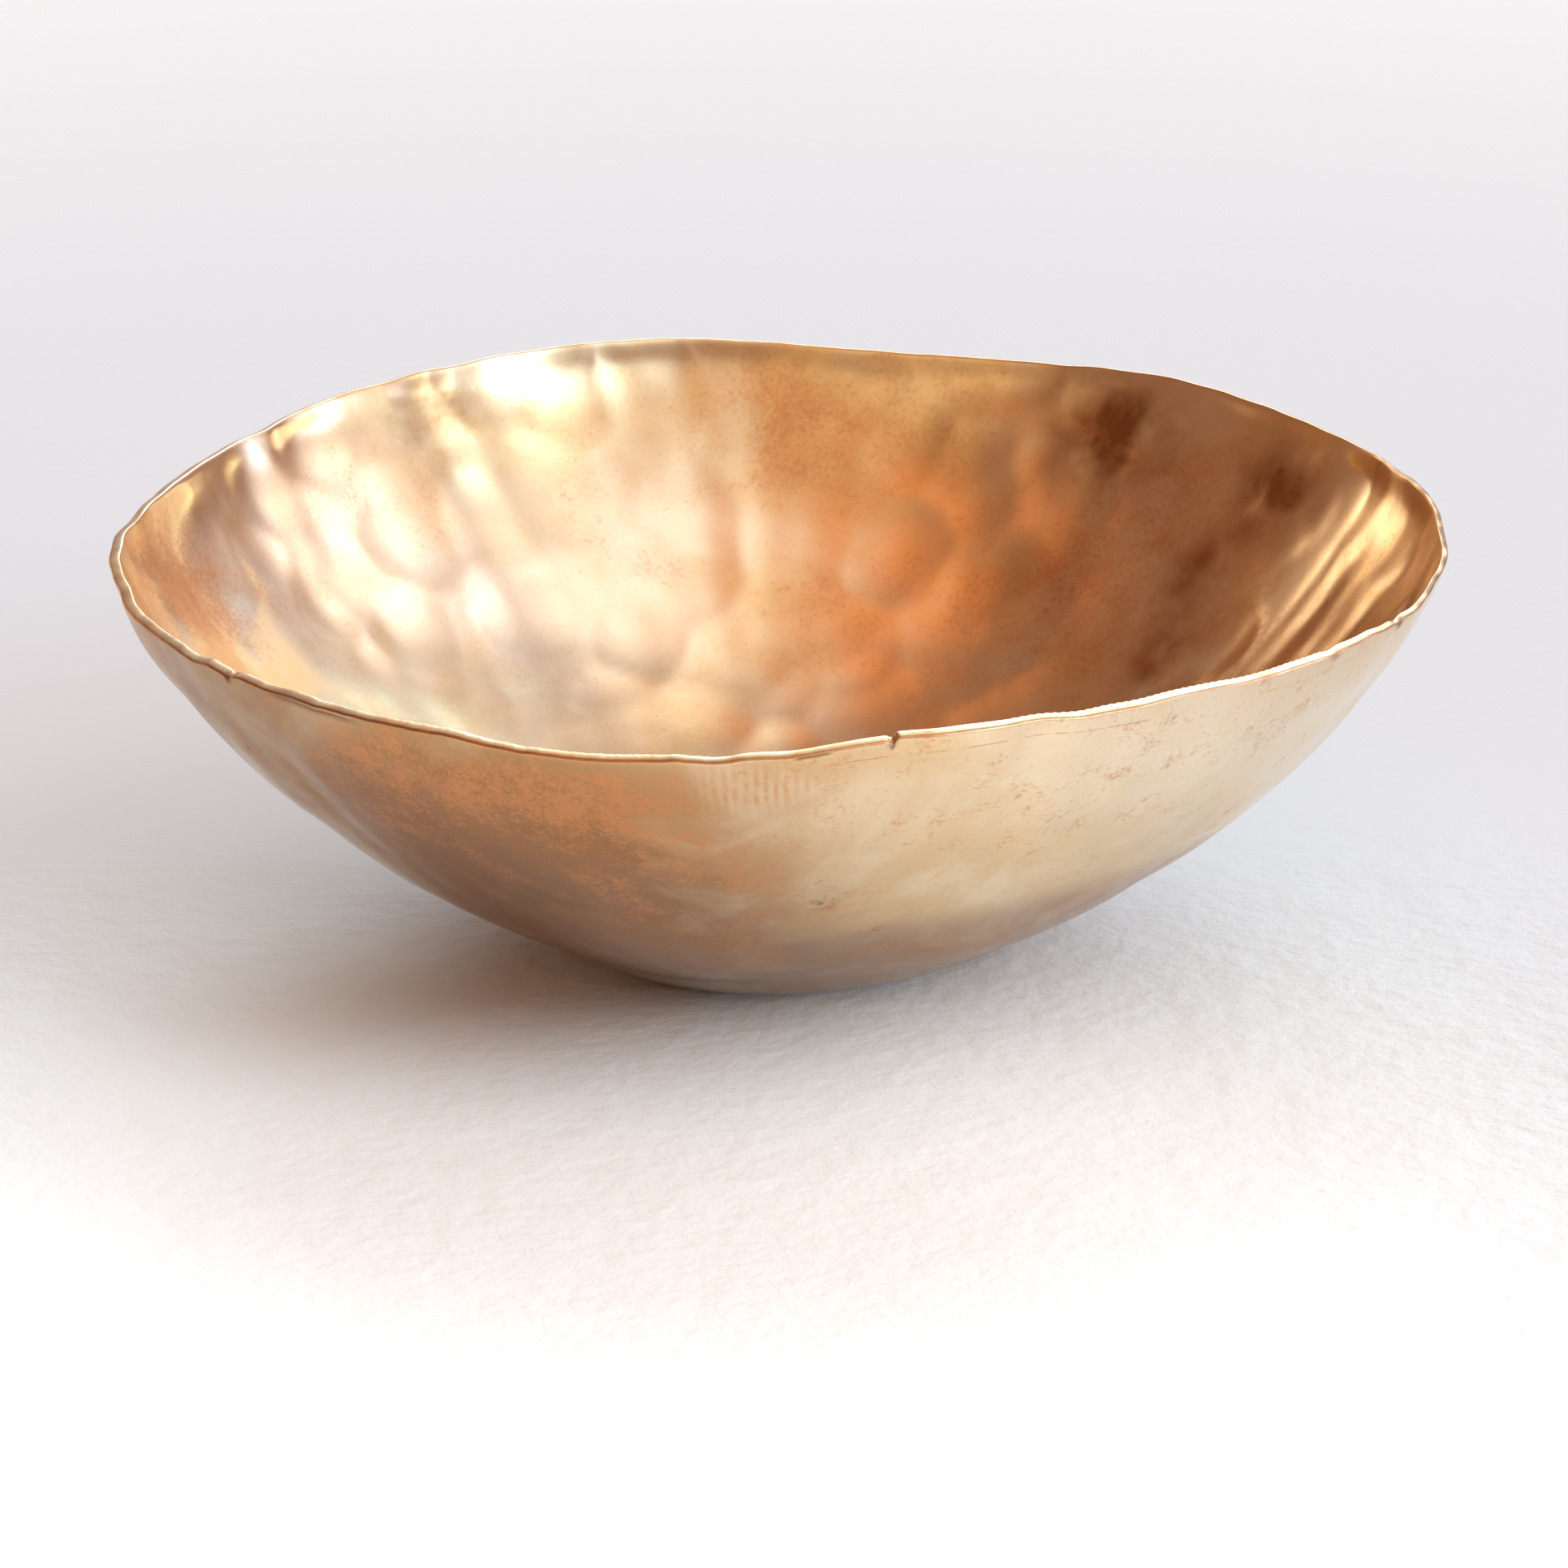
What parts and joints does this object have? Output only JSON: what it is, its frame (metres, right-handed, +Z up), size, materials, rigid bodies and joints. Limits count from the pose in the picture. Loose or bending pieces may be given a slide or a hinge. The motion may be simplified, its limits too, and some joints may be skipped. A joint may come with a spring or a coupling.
{
  "type": "hammered metal bowl",
  "caption": "Small shallow hand-hammered bowl of golden sheet metal with a raw hand-cut rim, a curved wall and a small flat foot; holds rings, salt or other small things.",
  "frame": {"origin": "centre of the flat foot, on the surface that the bowl stands on", "axes": "+Z up along the axis that the bowl is round about; the wall is the same all the way round, so X and Y are any two level directions"},
  "size_m": [0.0635, 0.0634, 0.0206],
  "materials": {
    "hammered_metal": "hammered and planished sheet, part polished, with copper-red pickling patches, faint tarnish and fine scratches"
  },
  "bodies": {
    "root": {"bowl": "hammered_metal"}
  },
  "joints": []
}
